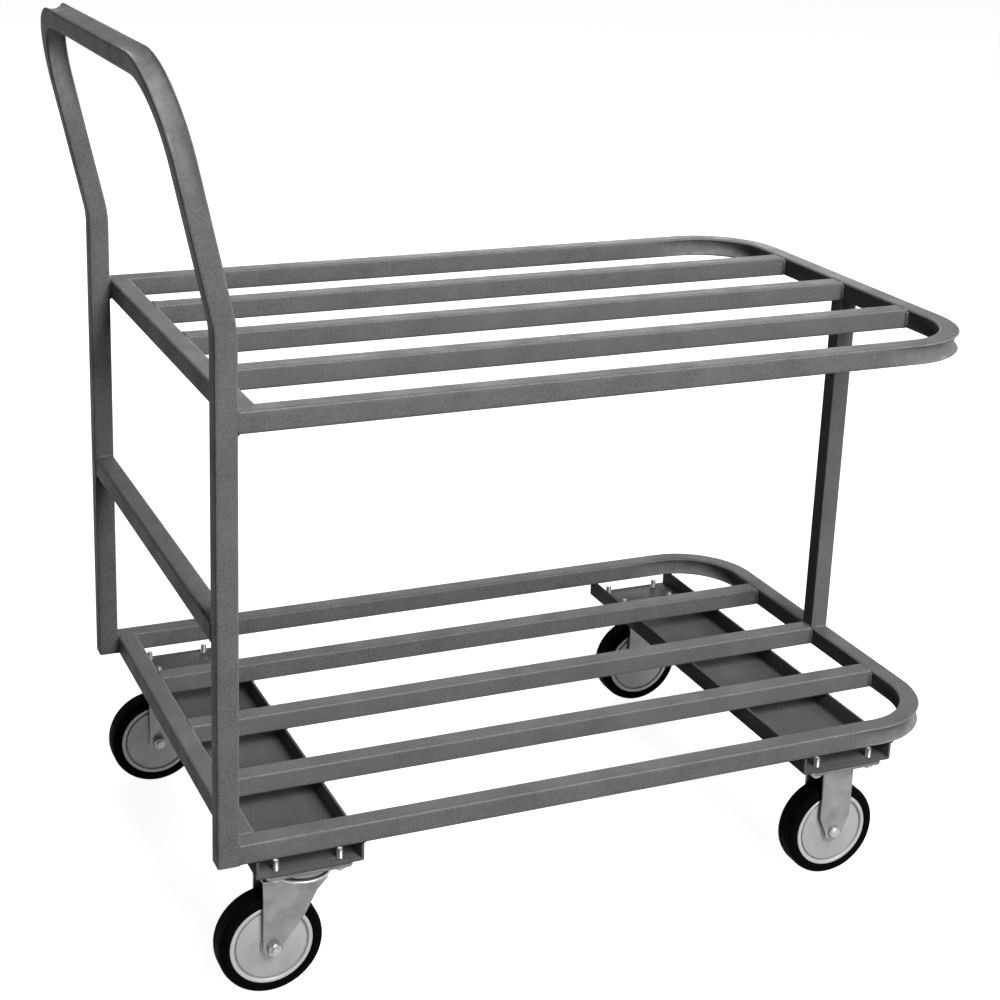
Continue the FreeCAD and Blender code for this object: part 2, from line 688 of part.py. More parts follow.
# Axles: a bolt through both legs, a spacer bush between them and a nut.
def axle(corner, x, y, head_side, domed):
    """The bolt runs along Y, its head on the side given by head_side (+1 left, -1 right)."""
    turn = Rotation(Vector(1, 0, 0), -90 * head_side)
    sign = "" if head_side > 0 else "-"

    def along(solid, distance):
        solid.Placement = Placement(Vector(), turn)
        at(solid, x, f"{y} + {sign}({distance})", "Sizes.axle_height")

    outside = "Sizes.fork_gap / 2 + Sizes.fork_gauge"
    shank = cylinder("AxleShank", "Sizes.axle_diameter / 2",
                     f"2 * ({outside}) + Sizes.axle_nut_height + Sizes.thread_stub")
    along(shank, f"-({outside} + Sizes.axle_nut_height + Sizes.thread_stub)")
    if domed:
        blank = cylinder("AxleHead", "Sizes.axle_head_width / 2", "Sizes.axle_head_height")
        along(blank, outside)
        head = doc.addObject("Part::Fillet", "AxleDome")
        head.Base = blank
        doc.recompute()
        rim_edges = [i + 1 for i, edge in enumerate(blank.Shape.Edges)
                     if edge.Closed and abs(abs(edge.CenterOfMass.y - blank.Placement.Base.y)
                                            - size.axle_head_height) < 1e-3]
        head.Edges = [(i, size.axle_dome, size.axle_dome) for i in rim_edges]
    else:
        head = hexagon("AxleHead", "Sizes.axle_nut_width", "Sizes.axle_head_height")
        along(head, outside)
    bolt = doc.addObject("Part::Fuse", f"{corner}_axle_bolt")
    bolt.Base = shank
    bolt.Tool = head
    keep(bolt, f"{corner}_axle_bolt")

    blank = hexagon("AxleNutBlank", "Sizes.axle_nut_width", "Sizes.axle_nut_height")
    along(blank, f"-({outside} + Sizes.axle_nut_height)")
    thread = cylinder("AxleNutThread", "Sizes.axle_diameter / 2", "3 * Sizes.axle_nut_height")
    along(thread, f"-({outside} + 2 * Sizes.axle_nut_height)")
    nut = doc.addObject("Part::Cut", f"{corner}_axle_nut")
    nut.Base = blank
    nut.Tool = thread
    keep(nut, f"{corner}_axle_nut")

    sleeve = cylinder("BushSleeve", "Sizes.bush_diameter / 2", "Sizes.fork_gap")
    along(sleeve, "-Sizes.fork_gap / 2")
    bore = cylinder("BushBore", "Sizes.axle_diameter / 2", "2 * Sizes.fork_gap")
    along(bore, "-Sizes.fork_gap")
    bush = doc.addObject("Part::Cut", f"{corner}_bush")
    bush.Base = sleeve
    bush.Tool = bore
    keep(bush, f"{corner}_bush")


for side, y in (("right", "-Sizes.caster_y"), ("left", "Sizes.caster_y")):
    corner = f"rear_{side}"
    top_plate(corner, REAR_X, y)
    plate_fasteners(corner, REAR_X, y)
    swivel_bearing(corner, REAR_X, y)
    swivel_fork(corner, REAR_X, y)
    wheel_x = f"{REAR_X} - Sizes.swivel_lead"
    wheel(corner, wheel_x, y)
    axle(corner, wheel_x, y, head_side=1, domed=False)

    corner = f"nose_{side}"
    top_plate(corner, NOSE_X, y)
    plate_fasteners(corner, NOSE_X, y)
    fixed_fork(corner, NOSE_X, y)
    wheel(corner, NOSE_X, y)
    axle(corner, NOSE_X, y, head_side=-1, domed=True)

doc.recompute()
for item in doc.Objects:
    if "Invalid" in item.State or "Error" in item.State:
        raise RuntimeError(f"{item.Label} did not build: {item.State}")
for node in nodes:
    if node.Shape.isNull() or not node.Shape.isValid():
        raise RuntimeError(f"{node.Label} has no valid shape")
for node in nodes:
    node.Shape.exportStep(f"parts/{node.Label}.step")
    print(node.Label, len(node.Shape.Solids), round(node.Shape.Volume, 1))
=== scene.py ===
import math

import bmesh
import bpy
from mathutils import Matrix, Vector


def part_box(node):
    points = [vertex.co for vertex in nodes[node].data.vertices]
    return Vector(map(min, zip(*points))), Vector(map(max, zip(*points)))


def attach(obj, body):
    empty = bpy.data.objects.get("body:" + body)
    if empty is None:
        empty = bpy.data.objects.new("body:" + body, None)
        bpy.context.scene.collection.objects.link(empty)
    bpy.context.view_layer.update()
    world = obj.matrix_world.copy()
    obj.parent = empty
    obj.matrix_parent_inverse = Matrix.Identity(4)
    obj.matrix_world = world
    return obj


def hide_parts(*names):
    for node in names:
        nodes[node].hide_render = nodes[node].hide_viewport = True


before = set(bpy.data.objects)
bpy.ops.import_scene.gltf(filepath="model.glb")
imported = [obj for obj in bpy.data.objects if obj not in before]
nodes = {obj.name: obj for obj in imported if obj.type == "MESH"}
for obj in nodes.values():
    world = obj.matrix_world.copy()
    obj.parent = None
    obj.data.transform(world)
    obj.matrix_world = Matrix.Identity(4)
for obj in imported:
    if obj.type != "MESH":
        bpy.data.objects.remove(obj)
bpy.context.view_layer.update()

# Camera: a long lens at shoulder height, well off the right rear corner of the cart.
# It looks across the cart and a little down, and is rolled very slightly.
camera_place = Vector((-0.9813, -2.1200, 1.3504))
camera_heading = 0.39159
camera_drop = 0.29130
camera_roll = 0.02619
ahead = Vector((math.sin(camera_heading) * math.cos(camera_drop),
                math.cos(camera_heading) * math.cos(camera_drop),
                -math.sin(camera_drop)))
level_right = ahead.cross(Vector((0, 0, 1))).normalized()
level_up = level_right.cross(ahead)
lens_right = math.cos(camera_roll) * level_right + math.sin(camera_roll) * level_up
lens_up = math.cos(camera_roll) * level_up - math.sin(camera_roll) * level_right
camera_data = bpy.data.cameras.new("camera")
camera_data.sensor_width = 36
camera_data.lens = 68.67
camera_data.shift_x = 0.0765
camera_data.shift_y = -0.137
camera = bpy.data.objects.new("camera", camera_data)
camera.matrix_world = Matrix.Translation(camera_place) @ Matrix(
    (lens_right, lens_up, -ahead)).transposed().to_4x4()
bpy.context.scene.collection.objects.link(camera)
bpy.context.scene.camera = camera

# Floor: a wide white studio floor that shows as white and keeps a soft shadow,
# but throws little light back up under the cart.
floor_shown = (0.5, 0.5, 0.5, 1)
floor_bounce = (0.07, 0.07, 0.07, 1)
floor_lift = 0.92
floor_side = 80
floor_level = -0.0005
bpy.ops.object.select_all(action="DESELECT")
bpy.ops.mesh.primitive_plane_add(size=floor_side, location=(0, 0, floor_level))
floor = bpy.context.object
floor.name = "studio_floor"
floor_paint = bpy.data.materials.new("studio_floor")
floor_paint.use_nodes = True
tree = floor_paint.node_tree
tree.nodes.clear()
ray = tree.nodes.new("ShaderNodeLightPath")
shown = tree.nodes.new("ShaderNodeMath")
shown.operation = "MAXIMUM"
tree.links.new(ray.outputs["Is Camera Ray"], shown.inputs[0])
tree.links.new(ray.outputs["Is Glossy Ray"], shown.inputs[1])
tone = tree.nodes.new("ShaderNodeMix")
tone.data_type = "RGBA"
tone.inputs["A"].default_value = floor_bounce
tone.inputs["B"].default_value = floor_shown
tree.links.new(shown.outputs[0], tone.inputs["Factor"])
matt = tree.nodes.new("ShaderNodeBsdfDiffuse")
tree.links.new(tone.outputs["Result"], matt.inputs["Color"])
lift = tree.nodes.new("ShaderNodeMath")
lift.operation = "MULTIPLY"
lift.inputs[1].default_value = floor_lift
tree.links.new(shown.outputs[0], lift.inputs[0])
glow = tree.nodes.new("ShaderNodeEmission")
tree.links.new(lift.outputs[0], glow.inputs["Strength"])
both = tree.nodes.new("ShaderNodeAddShader")
tree.links.new(matt.outputs[0], both.inputs[0])
tree.links.new(glow.outputs[0], both.inputs[1])
surface = tree.nodes.new("ShaderNodeOutputMaterial")
tree.links.new(both.outputs[0], surface.inputs["Surface"])
floor.data.materials.append(floor_paint)

# Studio light: a strong softbox high off the right side, a weaker one low beside it, one
# off the left side and a faint one above the nose, in a dim room that shows as white.
room_grey = (0.045, 0.045, 0.045, 1)
room_white = (1, 1, 1, 1)
middle_of_cart = (0, 0, 0.5)
bpy.context.scene.view_settings.view_transform = "Standard"
world = bpy.data.worlds.new("studio")
bpy.context.scene.world = world
world.use_nodes = True
room = world.node_tree
room.nodes.clear()
room_ray = room.nodes.new("ShaderNodeLightPath")
room_shown = room.nodes.new("ShaderNodeMath")
room_shown.operation = "MAXIMUM"
room.links.new(room_ray.outputs["Is Camera Ray"], room_shown.inputs[0])
room.links.new(room_ray.outputs["Is Glossy Ray"], room_shown.inputs[1])
room_tone = room.nodes.new("ShaderNodeMix")
room_tone.data_type = "RGBA"
room_tone.inputs["A"].default_value = room_grey
room_tone.inputs["B"].default_value = room_white
room.links.new(room_shown.outputs[0], room_tone.inputs["Factor"])
room_light = room.nodes.new("ShaderNodeBackground")
room.links.new(room_tone.outputs["Result"], room_light.inputs["Color"])
room_end = room.nodes.new("ShaderNodeOutputWorld")
room.links.new(room_light.outputs[0], room_end.inputs["Surface"])


def softbox(name, place, size, power):
    """Square area lamp at a place, turned to face the middle of the cart."""
    lamp = bpy.data.lights.new(name, "AREA")
    lamp.shape = "SQUARE"
    lamp.size = size
    lamp.energy = power
    box = bpy.data.objects.new(name, lamp)
    box.location = place
    facing = Vector(middle_of_cart) - Vector(place)
    box.rotation_euler = facing.to_track_quat("-Z", "Y").to_euler()
    bpy.context.scene.collection.objects.link(box)


softbox("softbox_above", (0.7, -0.6, 4.4), 2.4, 9)
softbox("softbox_front", (1.1, -5.0, 5.4), 2.8, 640)
softbox("softbox_low", (0.9, -6.0, 2.3), 3.0, 130)
softbox("softbox_back", (2.6, 5.2, 2.0), 3.0, 150)

# Frame paint: satin grey enamel sprayed over one-inch square steel tube. It has a
# fine grain, faint clouding and a light orange peel. Rounded edges and bends are
# painted paler, as rubbed paint and as a painted highlight.
paint_dark = (0.078, 0.078, 0.078, 1)
paint_light = (0.158, 0.158, 0.158, 1)
paint_rubbed_and_highlit = (0.26, 0.26, 0.26, 1)
edge_wear_and_highlight = 0.55
wear_and_highlight_mark = "rubbed_and_highlit"


def start_material(name):
    """New material, its nodes, its surface shader and the piece's own coordinates."""
    made = bpy.data.materials.new(name)
    made.use_nodes = True
    tree = made.node_tree
    shader = tree.nodes["Principled BSDF"]
    place = tree.nodes.new("ShaderNodeTexCoord").outputs["Object"]
    return made, tree, shader, place


def noise(tree, place, scale, detail=3.0):
    """Noise from 0 to 1 over the piece, finer at a larger scale."""
    grain = tree.nodes.new("ShaderNodeTexNoise")
    grain.inputs["Scale"].default_value = scale
    grain.inputs["Detail"].default_value = detail
    tree.links.new(place, grain.inputs["Vector"])
    return grain.outputs["Fac"]


def blend_colours(tree, factor, low, high):
    """Mix of two colours, each a fixed value or another node's output."""
    mix = tree.nodes.new("ShaderNodeMix")
    mix.data_type = "RGBA"
    tree.links.new(factor, mix.inputs["Factor"])
    for socket, colour in (("A", low), ("B", high)):
        if isinstance(colour, tuple):
            mix.inputs[socket].default_value = colour
        else:
            tree.links.new(colour, mix.inputs[socket])
    return mix.outputs["Result"]


def spread_range(tree, factor, low, high, out_low, out_high):
    """Stretches the range low to high over out_low to out_high, and clamps the rest."""
    ramp = tree.nodes.new("ShaderNodeMapRange")
    for socket, value in (("From Min", low), ("From Max", high),
                          ("To Min", out_low), ("To Max", out_high)):
        ramp.inputs[socket].default_value = value
    tree.links.new(factor, ramp.inputs["Value"])
    return ramp.outputs["Result"]


def bumps(tree, shader, height, strength, distance):
    """Gives a surface fine relief that is too shallow to model."""
    bump = tree.nodes.new("ShaderNodeBump")
    bump.inputs["Strength"].default_value = strength
    bump.inputs["Distance"].default_value = distance
    tree.links.new(height, bump.inputs["Height"])
    tree.links.new(bump.outputs["Normal"], shader.inputs["Normal"])


def arithmetic(tree, operation, *values):
    """Math node on fixed values and other nodes' outputs."""
    node = tree.nodes.new("ShaderNodeMath")
    node.operation = operation
    for socket, value in zip(node.inputs, values):
        if isinstance(value, (int, float)):
            socket.default_value = value
        else:
            tree.links.new(value, socket)
    return node.outputs[0]


def edge_mask(tree):
    """0 on flats that face along an axis, rising to 1 on rounded corners and bends."""
    facing = tree.nodes.new("ShaderNodeSeparateXYZ")
    normal = tree.nodes.new("ShaderNodeTexCoord").outputs["Normal"]
    tree.links.new(normal, facing.inputs[0])
    sizes = [arithmetic(tree, "ABSOLUTE", facing.outputs[axis]) for axis in "XYZ"]
    larger = arithmetic(tree, "MAXIMUM", *sizes[:2])
    largest = arithmetic(tree, "MAXIMUM", larger, sizes[2])
    return spread_range(tree, largest, 0.94, 0.76, 0, 1)


def enamel(name, dark, light, rubbed_and_highlit, gloss):
    """Sprayed paint: fine grain on faint clouds, paler on edges and marked places as wear
    and as a painted highlight.
    """
    made, tree, shader, place = start_material(name)
    grain = spread_range(tree, noise(tree, place, 560, 2), 0.34, 0.66, 0, 1)
    cloud = spread_range(tree, noise(tree, place, 22, 4), 0.3, 0.7, 0.2, 0.8)
    half_cloud = arithmetic(tree, "MULTIPLY", cloud, 0.5)
    tone = arithmetic(tree, "MULTIPLY_ADD", grain, 0.5, half_cloud)
    colour = blend_colours(tree, tone, dark, light)
    rub_and_highlight = tree.nodes.new("ShaderNodeAttribute")
    rub_and_highlight.attribute_name = wear_and_highlight_mark
    edges = arithmetic(tree, "MULTIPLY", edge_mask(tree), edge_wear_and_highlight)
    patches = spread_range(tree, noise(tree, place, 70, 4), 0.32, 0.6, 0.3, 1)
    worn_and_highlit = arithmetic(tree, "MULTIPLY", patches,
                      arithmetic(tree, "MAXIMUM", edges, rub_and_highlight.outputs["Fac"]))
    tree.links.new(blend_colours(tree, worn_and_highlit, colour, rubbed_and_highlit), shader.inputs["Base Color"])
    tree.links.new(spread_range(tree, cloud, 0.25, 0.75, 0.5, 0.4),
                   shader.inputs["Roughness"])
    shader.inputs["Specular IOR Level"].default_value = gloss
    bumps(tree, shader, noise(tree, place, 420, 2), 0.35, 0.0003)
    return made


frame_paint = enamel("frame_paint", paint_dark, paint_light, paint_rubbed_and_highlit, 0.02)

# Uprights and push handle: one length of square tube, cold bent. At the two corners of
# the grip the outer and inner walls have sunk between their edges.
tube_low, tube_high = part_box("upper_slat_2")
tube_side = tube_high.z - tube_low.z
half_side = tube_side / 2
tube_corner = 0.003
tube_wall = 0.0016
corner_steps = 4
flat_strips = 6
dent_step = 0.009
dent_steps = 6
dent_reach = 0.05
dent_outside = 0.0055
dent_inside = 0.0065
dent_shape = 0.8
dent_wear_and_highlight = 0.7
on_wall = 1e-4
smooth_angle = math.radians(35)


def pick(kind, wanted):
    """In edit mode, selects only what a test accepts among edges or faces, and returns
    how many that is. The selection mode stays on that kind."""
    mode = {"edges": "EDGE", "faces": "FACE"}[kind]
    bpy.ops.mesh.select_all(action="DESELECT")
    bpy.ops.mesh.select_mode(type=mode)
    mesh = bmesh.from_edit_mesh(bpy.context.object.data)
    chosen = [item for item in getattr(mesh, kind) if wanted(item)]
    for item in chosen:
        item.select_set(True)
    mesh.select_flush_mode()
    bmesh.update_edit_mesh(bpy.context.object.data)
    return len(chosen)


def new_piece(name):
    """Names the active piece and its mesh."""
    piece = bpy.context.object
    piece.name = name
    piece.data.name = name
    return piece


def tube_ring(name, centre, turn):
    """Open outline of the tube's section, left in edit mode and all selected."""
    bpy.ops.object.select_all(action="DESELECT")
    bpy.ops.mesh.primitive_plane_add(size=tube_side, location=centre, rotation=turn)
    bpy.ops.object.transform_apply(location=True, rotation=True)
    ring = new_piece(name)
    bpy.ops.object.mode_set(mode="EDIT")
    bpy.ops.mesh.select_all(action="SELECT")
    bpy.ops.mesh.bevel(offset=tube_corner, segments=corner_steps, affect="VERTICES")
    bpy.ops.mesh.select_all(action="SELECT")
    bpy.ops.mesh.delete(type="ONLY_FACE")
    pick("edges", lambda edge: edge.calc_length() > half_side)
    bpy.ops.mesh.subdivide(number_cuts=flat_strips - 1)
    bpy.ops.mesh.select_all(action="SELECT")
    return ring


def run_on(offset, from_bend=False, to_bend=False):
    """Extrudes the open end, in short lengths where it leaves or nears a bend."""
    offset = Vector(offset)
    step = offset.normalized() * dent_step
    near = [step] * dent_steps
    middle = offset - step * dent_steps * (from_bend + to_bend)
    for part in near * from_bend + [middle] + near * to_bend:
        bpy.ops.mesh.extrude_edges_move(TRANSFORM_OT_translate={"value": part})


def bend(centre, axis, angle, steps):
    """Spins the open end about an axis, and returns what the dents need to know of it."""
    centre = Vector(centre)
    axis = Vector(axis).normalized()
    mesh = bmesh.from_edit_mesh(bpy.context.object.data)
    ends = [vert.co.copy() for vert in mesh.verts if vert.select]
    arm = sum(ends, Vector()) / len(ends) - centre
    height = arm.dot(axis)
    bpy.ops.mesh.spin(steps=steps, angle=-angle, center=centre, axis=axis)
    return centre, axis, arm - axis * height, height, angle


def dent(bends):
    """Folds the outer and inner walls of each bend in between their edges, fading out
    along the straight runs either side, and marks the folds to be painted paler, as rubbed
    paint and as a painted highlight on the dented walls."""
    piece = bpy.context.object
    mesh = bmesh.from_edit_mesh(piece.data)
    moves = {}
    rubbed_and_highlit = {}
    for centre, axis, arm, height, angle in bends:
        radius = arm.length
        first = arm.normalized()
        heading = axis.cross(first)
        last = first * math.cos(angle) + heading * math.sin(angle)
        length = radius * angle
        for vert in mesh.verts:
            spot = vert.co - centre
            across = abs(spot.dot(axis) - height)
            spot -= axis * spot.dot(axis)
            turned_by = math.atan2(spot.dot(heading), spot.dot(first))
            if 0 <= turned_by <= angle:
                along, way = turned_by * radius, spot.normalized()
                out = spot.length - radius
            elif spot.dot(heading) < 0:
                along, way = spot.dot(heading), first
                out = spot.dot(first) - radius
            else:
                along, way = length + axis.cross(last).dot(spot), last
                out = spot.dot(last) - radius
            share = (along + dent_reach) / (length + 2 * dent_reach)
            off_wall = abs(abs(out) - half_side) > on_wall
            if not 0 < share < 1 or across > half_side or off_wall:
                continue
            profile = math.cos(math.pi / 2 * across / half_side)
            fold = math.sin(math.pi * share) ** dent_shape * profile
            moves[vert.index] = way * fold * (-dent_outside if out > 0 else dent_inside)
            rubbed_and_highlit[vert.index] = dent_wear_and_highlight * fold * abs(2 * share - 1)
    bpy.ops.mesh.select_mode(type="VERT")
    for index, move in moves.items():
        bpy.ops.mesh.select_all(action="DESELECT")
        mesh = bmesh.from_edit_mesh(piece.data)
        mesh.verts.ensure_lookup_table()
        mesh.verts[index].select_set(True)
        bpy.ops.transform.translate(value=move)
    bpy.ops.object.mode_set(mode="OBJECT")
    marks = piece.data.attributes.new(wear_and_highlight_mark, "FLOAT", "POINT")
    for index, amount in rubbed_and_highlit.items():
        marks.data[index].value = amount


def give_wall(piece, thickness):
    """Turns an open tube's faces outwards, gives it its wall and shades it smooth."""
    bpy.ops.object.mode_set(mode="EDIT")
    bpy.ops.mesh.select_all(action="SELECT")
    bpy.ops.mesh.normals_make_consistent(inside=False)
    bpy.ops.object.mode_set(mode="OBJECT")
    wall = piece.modifiers.new("wall", "SOLIDIFY")
    wall.thickness = thickness
    wall.offset = -1
    bpy.ops.object.modifier_apply(modifier=wall.name)
    bpy.ops.object.shade_smooth_by_angle(angle=smooth_angle)


handle_low, handle_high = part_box("handle_frame")
brace_low, brace_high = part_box("cross_brace")
upper_deck_top = tube_high.z
lean = math.radians(13)
lean_radius = 0.127
lean_above_deck = 0.073
lean_height = upper_deck_top + lean_above_deck
handle_rise = 0.271
handle_radius = 0.09525
lean_steps = 6
bend_steps = 18
upright_x = (brace_low.x + brace_high.x) / 2
side_y = handle_high.y - half_side
lean_way = Vector((-math.sin(lean), 0, math.cos(lean)))
leg_run = handle_rise - half_side - handle_radius

handle = tube_ring("push_handle", (upright_x, -side_y, handle_low.z), (0, 0, 0))
run_on((0, 0, lean_height - handle_low.z))
bend((upright_x - lean_radius, -side_y, lean_height), (0, -1, 0), lean, lean_steps)
run_on(lean_way * leg_run, to_bend=True)
corner_middle = Vector((upright_x - lean_radius * (1 - math.cos(lean)),
                        -side_y + handle_radius,
                        lean_height + lean_radius * math.sin(lean))) + lean_way * leg_run
corner_axis = Vector((-math.cos(lean), 0, -math.sin(lean)))
grip_run = Vector((0, 2 * (side_y - handle_radius), 0))
handle_bends = [bend(corner_middle, corner_axis, math.pi / 2, bend_steps)]
run_on(grip_run, from_bend=True, to_bend=True)
handle_bends.append(bend(corner_middle + grip_run, corner_axis, math.pi / 2, bend_steps))
run_on(-lean_way * leg_run, from_bend=True)
bend((upright_x - lean_radius, side_y, lean_height), (0, 1, 0), lean, lean_steps)
run_on((0, 0, handle_low.z - lean_height))
dent(handle_bends)
give_wall(handle, tube_wall)
handle.data.materials.append(frame_paint)
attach(handle, "frame")
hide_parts("handle_frame")

# Deck rims: the same tube bent into a U round the nose of each deck, with the same
# sunken outer walls at its two bends. The open ends meet the uprights.
rim_radius = 0.09525
up = (0, 0, 1)
for level in ("upper", "lower"):
    rim_low, rim_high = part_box(f"{level}_rim")
    height = (rim_low.z + rim_high.z) / 2
    reach = rim_high.x - half_side - rim_radius
    rail_y = rim_high.y - half_side
    rim = tube_ring(f"{level}_deck_rim", (rim_low.x, -rail_y, height),
                    (0, math.pi / 2, 0))
    nose_run = Vector((0, 2 * (rail_y - rim_radius), 0))
    run_on((reach - rim_low.x, 0, 0), to_bend=True)
    rim_bends = [bend((reach, -rail_y + rim_radius, height), up, math.pi / 2, bend_steps)]
    run_on(nose_run, from_bend=True, to_bend=True)
    rim_bends.append(bend((reach, rail_y - rim_radius, height), up, math.pi / 2,
                          bend_steps))
    run_on((rim_low.x - reach, 0, 0), from_bend=True)
    dent(rim_bends)
    give_wall(rim, tube_wall)
    rim.data.materials.append(frame_paint)
    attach(rim, "frame")
    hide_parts(f"{level}_rim")

# Straight tubes: the slats, end rails, brace and nose post are sawn lengths of the
# same tube and keep their plain shape.
slats = (1, 2, 3)
straight = ["cross_brace", "nose_post"]
for level in ("upper", "lower"):
    straight += [f"{level}_end_rail"] + [f"{level}_slat_{number}" for number in slats]
for name in straight:
    for holder in nodes[name].material_slots:
        holder.material = frame_paint

# Upright plugs: dark grey plastic, pressed into the open feet of the two uprights to
# close the tube.
plug_dark = (0.05, 0.05, 0.05, 1)
plug_light = (0.08, 0.08, 0.08, 1)
plug_plastic, tree, shader, place = start_material("plug_plastic")
tree.links.new(blend_colours(tree, noise(tree, place, 300), plug_dark, plug_light),
               shader.inputs["Base Color"])
shader.inputs["Roughness"].default_value = 0.55
bumps(tree, shader, noise(tree, place, 700), 0.2, 0.0002)
for side in ("left", "right"):
    nodes[f"upright_plug_{side}"].material_slots[0].material = plug_plastic

# Caster channels: pressed steel channel, flanges up, welded under the lower deck and
# painted with it. The flange lips and the pressed bends are slightly rounded.
# The channel paint is mixed darker than the frame paint: a painted shade for where the
# channels sit under the deck.
channel_shaded_dark = (0.062, 0.062, 0.062, 1)
channel_shaded_light = (0.118, 0.118, 0.118, 1)
channel_paint = enamel("channel_paint", channel_shaded_dark, channel_shaded_light, paint_rubbed_and_highlit, 0.01)
same_spot = 1e-6
flat_angle = math.radians(0.6)
sharp_angle = math.radians(32)
fold_radius = 0.0026
fold_steps = 4
channel_edge = 0.0005


def softened(node_name, name, width, paint, body, segments=2, fold=None):
    """Stands a copy of a CAD solid in its place, its flats joined and its edges rounded.
    Edges that the fold test accepts are first bent to the fold's wider radius."""
    bpy.ops.object.select_all(action="DESELECT")
    piece = bpy.data.objects.new(name, nodes[node_name].data.copy())
    piece.data.name = name
    bpy.context.scene.collection.objects.link(piece)
    piece.select_set(True)
    bpy.context.view_layer.objects.active = piece
    bpy.ops.object.mode_set(mode="EDIT")
    bpy.ops.mesh.select_all(action="SELECT")
    bpy.ops.mesh.customdata_custom_splitnormals_clear()
    bpy.ops.mesh.select_all(action="SELECT")
    bpy.ops.mesh.remove_doubles(threshold=same_spot)
    bpy.ops.mesh.dissolve_limited(angle_limit=flat_angle)
    if fold and pick("edges", fold):
        bpy.ops.mesh.bevel(offset=fold_radius, segments=fold_steps, affect="EDGES",
                           clamp_overlap=True)
    bpy.ops.object.mode_set(mode="OBJECT")
    rounding = piece.modifiers.new("rounding", "BEVEL")
    rounding.width = width
    rounding.segments = segments
    rounding.limit_method = "ANGLE"
    rounding.angle_limit = sharp_angle
    bpy.ops.object.modifier_apply(modifier=rounding.name)
    bpy.ops.object.shade_smooth_by_angle(angle=smooth_angle)
    piece.data.materials.clear()
    piece.data.materials.append(paint)
    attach(piece, body)
    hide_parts(node_name)


for end in ("rear", "nose"):
    softened(f"{end}_channel", f"{end}_caster_channel", channel_edge,
             channel_paint, "frame")

# Welds: hand-laid fillet beads, painted over, round the ends of every slat, rail and
# brace, at both ends of the post, and in stitches where the channels meet the tubes.
bead_length = 0.0185
bead_radius = 0.0028
bead_ripples = 9
ripple_steps = bead_ripples * 2
bead_tip = 0.5
bead_waist = 0.84
groove = 0.0017
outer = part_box("upper_rim")[1] - Vector((0.001, 0.001, 0))

bpy.ops.object.select_all(action="DESELECT")
bpy.ops.mesh.primitive_circle_add(vertices=10, radius=bead_radius * bead_tip,
                                  fill_type="NGON", location=(0, 0, -bead_length / 2))
bpy.ops.object.transform_apply(location=True)
bead = new_piece("weld_bead")
bpy.ops.object.mode_set(mode="EDIT")
bpy.ops.mesh.select_all(action="SELECT")
half_ripple = bead_length / bead_ripples / 2
swell = bead_tip
for ripple in range(ripple_steps):
    wanted = bead_tip if ripple == ripple_steps - 1 else (1.0, bead_waist)[ripple % 2]
    tip_z = -bead_length / 2 + half_ripple * (ripple + 1)
    bpy.ops.mesh.extrude_region_move(TRANSFORM_OT_translate={"value": (0, 0, half_ripple)})
    bpy.ops.transform.resize(value=(wanted / swell, wanted / swell, 1),
                             center_override=(0, 0, tip_z))
    swell = wanted
bpy.ops.mesh.select_all(action="SELECT")
bpy.ops.mesh.normals_make_consistent(inside=False)
bpy.ops.object.mode_set(mode="OBJECT")
bpy.ops.object.shade_smooth()


def set_down(master, place, along=(0, 0, 1), turn=0.0):
    """Copy of a master piece and its mesh, stood at a place with its Z along a line."""
    copy = bpy.data.objects.new(master.name, master.data.copy())
    bpy.context.scene.collection.objects.link(copy)
    tilt = Vector((0, 0, 1)).rotation_difference(Vector(along)).to_matrix().to_4x4()
    copy.data.transform(Matrix.Translation(place) @ tilt @ Matrix.Rotation(turn, 4, "Z"))
    return copy


def join_up(copies, name):
    """Makes one piece of several and gives it a name."""
    bpy.ops.object.select_all(action="DESELECT")
    for copy in copies:
        copy.select_set(True)
    bpy.context.view_layer.objects.active = copies[0]
    bpy.ops.object.join()
    return new_piece(name)


def butt_welds(low, high, axes, ends):
    """Beads round the ends of a tube: full at its two side faces, shallow in the grooves
    at the faces that lie flush with the tube it meets, and sunk on the cart's outside.
    The axes are the letters of the tube's run and of its flush faces."""
    run, flush = axes
    across = next(letter for letter in "xyz" if letter not in axes)
    middle = (low + high) / 2
    laid = []
    for end in ends:
        for face in (low, high):
            for side, sink in ((across, 0.0), (flush, groove)):
                place = middle.copy()
                setattr(place, run, end)
                edge = getattr(face, side)
                if side != "z" and abs(edge) > getattr(outer, side):
                    sink = bead_radius
                setattr(place, side, edge + (sink if face is low else -sink))
                other = flush if side == across else across
                way = [1.0 if letter == other else 0.0 for letter in "xyz"]
                laid.append(set_down(bead, place, way))
    return laid


for level in ("upper", "lower"):
    welds = []
    for number in slats:
        slat_low, slat_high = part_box(f"{level}_slat_{number}")
        welds += butt_welds(slat_low, slat_high, "xz", (slat_low.x, slat_high.x))
    rail_low, rail_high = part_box(f"{level}_end_rail")
    welds += butt_welds(rail_low, rail_high, "yz", (rail_low.y, rail_high.y))
    rim_low, rim_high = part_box(f"{level}_rim")
    for side in (-1, 1):
        run_low = Vector((rim_low.x, side * rim_high.y - half_side * (1 + side), rim_low.z))
        run_high = run_low + Vector((0, tube_side, tube_side))
        welds += butt_welds(run_low, run_high, "xy", (rim_low.x,))
    deck_welds = join_up(welds, f"{level}_deck_welds")
    deck_welds.data.materials.append(frame_paint)
    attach(deck_welds, "frame")

post_low, post_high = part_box("nose_post")
welds = butt_welds(brace_low, brace_high, "yx", (brace_low.y, brace_high.y))
welds += butt_welds(post_low, post_high, "zx", (post_low.z, post_high.z))
upright_welds = join_up(welds, "upright_welds")
upright_welds.data.materials.append(frame_paint)
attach(upright_welds, "frame")

